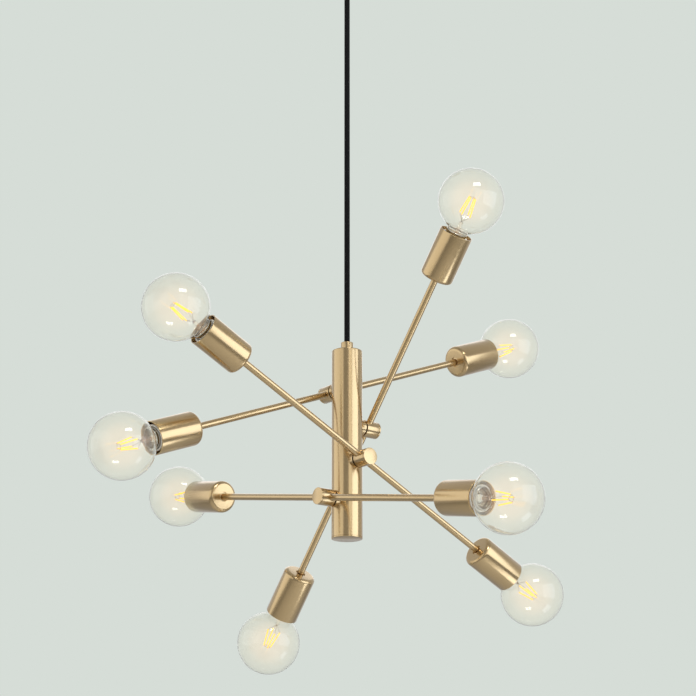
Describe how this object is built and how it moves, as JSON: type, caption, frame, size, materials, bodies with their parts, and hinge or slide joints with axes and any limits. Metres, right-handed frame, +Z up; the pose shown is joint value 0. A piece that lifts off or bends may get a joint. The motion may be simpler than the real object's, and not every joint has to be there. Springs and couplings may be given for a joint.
{
  "type": "sputnik chandelier",
  "caption": "Pendant light on a black cord: a vertical brass tube with straight tilting arms crossing it, each arm with a lamp cup and a globe bulb at both ends.",
  "frame": {"origin": "on the ceiling, in the middle of the mounting bracket's top face, above the vertical tube's axis", "axes": "+Z up, against the ceiling; +Y away from the viewer of the usual front view; +X to that viewer's right"},
  "size_m": [0.5735, 0.5816, 0.9133],
  "materials": {
    "satin_brass": "satin, brushed along the turning",
    "zinc_plated_steel": "satin",
    "nickel_steel": "bright",
    "black_textile": "braided",
    "black_nylon": "matt",
    "cream_plastic": "matt",
    "clear_glass": "polished",
    "led_filament": "matt phosphor, lit"
  },
  "bodies": {
    "fixture": {"ceiling_canopy": "satin_brass", "mounting_bracket": "zinc_plated_steel", "canopy_screws": "satin_brass", "canopy_grip": "satin_brass", "tube_nipple": "satin_brass", "grip_nuts": "zinc_plated_steel", "cord": "black_textile", "cord_stops": "black_nylon", "stem_tube": "satin_brass", "tube_top_cap": "satin_brass", "tube_foot_cap": "satin_brass", "wire_connectors": "black_nylon", "saddle_collars": "satin_brass", "friction_washers": "black_nylon", "pivot_pads": "zinc_plated_steel", "spring_washers": "zinc_plated_steel"},
    "arm_1": {"arm_1_pivot_bolt": "zinc_plated_steel", "arm_1_knuckle": "satin_brass", "arm_1_knuckle_cap": "satin_brass", "arm_1_rods": "satin_brass", "arm_1_lamp_cups": "satin_brass", "arm_1_cup_bushings": "satin_brass", "arm_1_lampholders": "cream_plastic", "arm_1_screw_shells": "nickel_steel", "arm_1_bulb_caps": "nickel_steel", "arm_1_bulb_glass": "clear_glass", "arm_1_bulb_filaments": "led_filament"},
    "arm_2": {"arm_2_pivot_bolt": "zinc_plated_steel", "arm_2_knuckle": "satin_brass", "arm_2_knuckle_cap": "satin_brass", "arm_2_rods": "satin_brass", "arm_2_lamp_cups": "satin_brass", "arm_2_cup_bushings": "satin_brass", "arm_2_lampholders": "cream_plastic", "arm_2_screw_shells": "nickel_steel", "arm_2_bulb_caps": "nickel_steel", "arm_2_bulb_glass": "clear_glass", "arm_2_bulb_filaments": "led_filament"},
    "arm_3": {"arm_3_pivot_bolt": "zinc_plated_steel", "arm_3_knuckle": "satin_brass", "arm_3_knuckle_cap": "satin_brass", "arm_3_rods": "satin_brass", "arm_3_lamp_cups": "satin_brass", "arm_3_cup_bushings": "satin_brass", "arm_3_lampholders": "cream_plastic", "arm_3_screw_shells": "nickel_steel", "arm_3_bulb_caps": "nickel_steel", "arm_3_bulb_glass": "clear_glass", "arm_3_bulb_filaments": "led_filament"},
    "arm_4": {"arm_4_pivot_bolt": "zinc_plated_steel", "arm_4_knuckle": "satin_brass", "arm_4_knuckle_cap": "satin_brass", "arm_4_rods": "satin_brass", "arm_4_lamp_cups": "satin_brass", "arm_4_cup_bushings": "satin_brass", "arm_4_lampholders": "cream_plastic", "arm_4_screw_shells": "nickel_steel", "arm_4_bulb_caps": "nickel_steel", "arm_4_bulb_glass": "clear_glass", "arm_4_bulb_filaments": "led_filament"}
  },
  "joints": [
    {"name": "arm_1_tilt", "type": "hinge", "parent": "fixture", "child": "arm_1", "pos_m": [0, 0, -0.5835], "axis": [-0.6225, 0.7826, 0], "range_deg": [-49, 8]},
    {"name": "arm_2_tilt", "type": "hinge", "parent": "fixture", "child": "arm_2", "pos_m": [0, 0, -0.631], "axis": [0.7826, 0.6225, 0], "range_deg": [-21, 18]},
    {"name": "arm_3_tilt", "type": "hinge", "parent": "fixture", "child": "arm_3", "pos_m": [0, 0, -0.6785], "axis": [0.6225, -0.7826, 0], "range_deg": [-43, 9]},
    {"name": "arm_4_tilt", "type": "hinge", "parent": "fixture", "child": "arm_4", "pos_m": [0, 0, -0.726], "axis": [-0.7826, -0.6225, 0], "range_deg": [-30, 15]}
  ]
}
